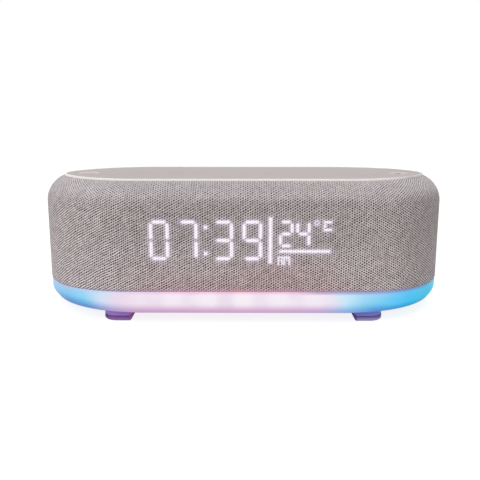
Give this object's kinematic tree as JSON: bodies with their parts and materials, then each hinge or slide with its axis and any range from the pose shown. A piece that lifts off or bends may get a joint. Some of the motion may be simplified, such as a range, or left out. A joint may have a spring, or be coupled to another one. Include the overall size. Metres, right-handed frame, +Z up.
{
  "type": "talking clock",
  "caption": "Low rounded table clock in speaker cloth, with a number display behind the cloth, a light ring, flush top keys and rear controls.",
  "frame": {"origin": "centre of the footprint, on the table plane under the foot pads", "axes": "+X along the width, to the right seen from the front; +Y from front to back; +Z up"},
  "size_m": [0.206, 0.092, 0.0686],
  "materials": {
    "cloth": "woven speaker cloth, taupe and grey",
    "cabinet_plastic": "moulded, dark",
    "top_plastic": "fine satin, warm grey",
    "trim": "satin cream",
    "top_keys": "fine satin, warm grey",
    "ring_diffuser": "milky light diffuser",
    "base_plastic": "moulded, grey",
    "foot_rubber": "soft, dark",
    "screw_steel": "plain",
    "circuit_board": "solder mask, green",
    "switch_plastic": "moulded, black",
    "led_white": "lamp packages",
    "display_black": "moulded, black",
    "display_light": "milky light guides",
    "display_smoke": "smoked sheet",
    "basket_steel": "pressed and painted black",
    "magnet_dark": "ferrite",
    "coil_copper": "enamelled wire",
    "cone_paper": "pressed pulp, black",
    "soft_rubber": "soft roll",
    "spider_cloth": "resin-treated cloth",
    "rear_plastic": "fine satin, warm grey",
    "rear_keys": "matt",
    "socket_steel": "plated",
    "socket_plastic": "moulded, black",
    "components": "epoxy, black",
    "cell_wrap": "plastic wrap, blue"
  },
  "bodies": {
    "cabinet": {"base_plate": "base_plastic", "base_screws": "screw_steel", "battery_cell": "cell_wrap", "battery_cradle": "cabinet_plastic", "board_components": "components", "board_screws": "screw_steel", "cabinet_shell": "cabinet_plastic", "charging_socket": "socket_steel", "charging_socket_tongue": "socket_plastic", "display_board": "circuit_board", "display_housing": "display_black", "display_segments": "display_light", "display_window": "display_smoke", "driver_screws": "screw_steel", "fabric_sleeve": "cloth", "front_left_foot_pad": "foot_rubber", "front_right_foot_pad": "foot_rubber", "led_board": "circuit_board", "led_chips": "led_white", "left_speaker_baffle": "cabinet_plastic", "left_speaker_basket": "basket_steel", "left_speaker_front_plate": "basket_steel", "left_speaker_magnet": "magnet_dark", "left_speaker_spider": "spider_cloth", "left_speaker_surround": "soft_rubber", "left_speaker_yoke": "basket_steel", "light_ring": "ring_diffuser", "main_board": "circuit_board", "panel_screws": "screw_steel", "power_switch_body": "switch_plastic", "rear_key_switches": "switch_plastic", "rear_left_foot_pad": "foot_rubber", "rear_panel": "rear_plastic", "rear_right_foot_pad": "foot_rubber", "right_speaker_baffle": "cabinet_plastic", "right_speaker_basket": "basket_steel", "right_speaker_front_plate": "basket_steel", "right_speaker_magnet": "magnet_dark", "right_speaker_spider": "spider_cloth", "right_speaker_surround": "soft_rubber", "right_speaker_yoke": "basket_steel", "temperature_sensor": "components", "top_key_board": "circuit_board", "top_key_switches": "switch_plastic", "top_panel": "top_plastic", "top_trim_ring": "trim"},
    "talk_key": {"talk_key": "top_keys"},
    "light_key": {"light_key": "top_keys"},
    "hour_key": {"hour_key": "rear_keys"},
    "minute_key": {"minute_key": "rear_keys"},
    "alarm_key": {"alarm_key": "rear_keys"},
    "mode_key": {"mode_key": "rear_keys"},
    "power_slider": {"power_slider": "rear_keys"},
    "left_speaker_cone": {"left_speaker_cone": "cone_paper", "left_dust_cap": "cone_paper", "left_voice_coil": "coil_copper"},
    "right_speaker_cone": {"right_speaker_cone": "cone_paper", "right_dust_cap": "cone_paper", "right_voice_coil": "coil_copper"}
  },
  "joints": [
    {"name": "talk_key_press", "type": "slide", "parent": "cabinet", "child": "talk_key", "axis": [0, 0, -1], "range_m": [0, 0.0005], "stiffness_N_per_m": 1000, "springref_m": -0.0005},
    {"name": "light_key_press", "type": "slide", "parent": "cabinet", "child": "light_key", "axis": [0, 0, -1], "range_m": [0, 0.0005], "stiffness_N_per_m": 1000, "springref_m": -0.0005},
    {"name": "hour_key_press", "type": "slide", "parent": "cabinet", "child": "hour_key", "axis": [0, -1, 0], "range_m": [0, 0.0005], "stiffness_N_per_m": 1000, "springref_m": -0.0005},
    {"name": "minute_key_press", "type": "slide", "parent": "cabinet", "child": "minute_key", "axis": [0, -1, 0], "range_m": [0, 0.0005], "stiffness_N_per_m": 1000, "springref_m": -0.0005},
    {"name": "alarm_key_press", "type": "slide", "parent": "cabinet", "child": "alarm_key", "axis": [0, -1, 0], "range_m": [0, 0.0005], "stiffness_N_per_m": 1000, "springref_m": -0.0005},
    {"name": "mode_key_press", "type": "slide", "parent": "cabinet", "child": "mode_key", "axis": [0, -1, 0], "range_m": [0, 0.0005], "stiffness_N_per_m": 1000, "springref_m": -0.0005},
    {"name": "power_slide", "type": "slide", "parent": "cabinet", "child": "power_slider", "axis": [1, 0, 0], "range_m": [0, 0.002]},
    {"name": "left_cone_stroke", "type": "slide", "parent": "cabinet", "child": "left_speaker_cone", "axis": [0, 1, 0], "range_m": [-0.002, 0.002], "stiffness_N_per_m": 2000, "deforming": ["left_speaker_surround", "left_speaker_spider"]},
    {"name": "right_cone_stroke", "type": "slide", "parent": "cabinet", "child": "right_speaker_cone", "axis": [0, 1, 0], "range_m": [-0.002, 0.002], "stiffness_N_per_m": 2000, "deforming": ["right_speaker_surround", "right_speaker_spider"]}
  ]
}
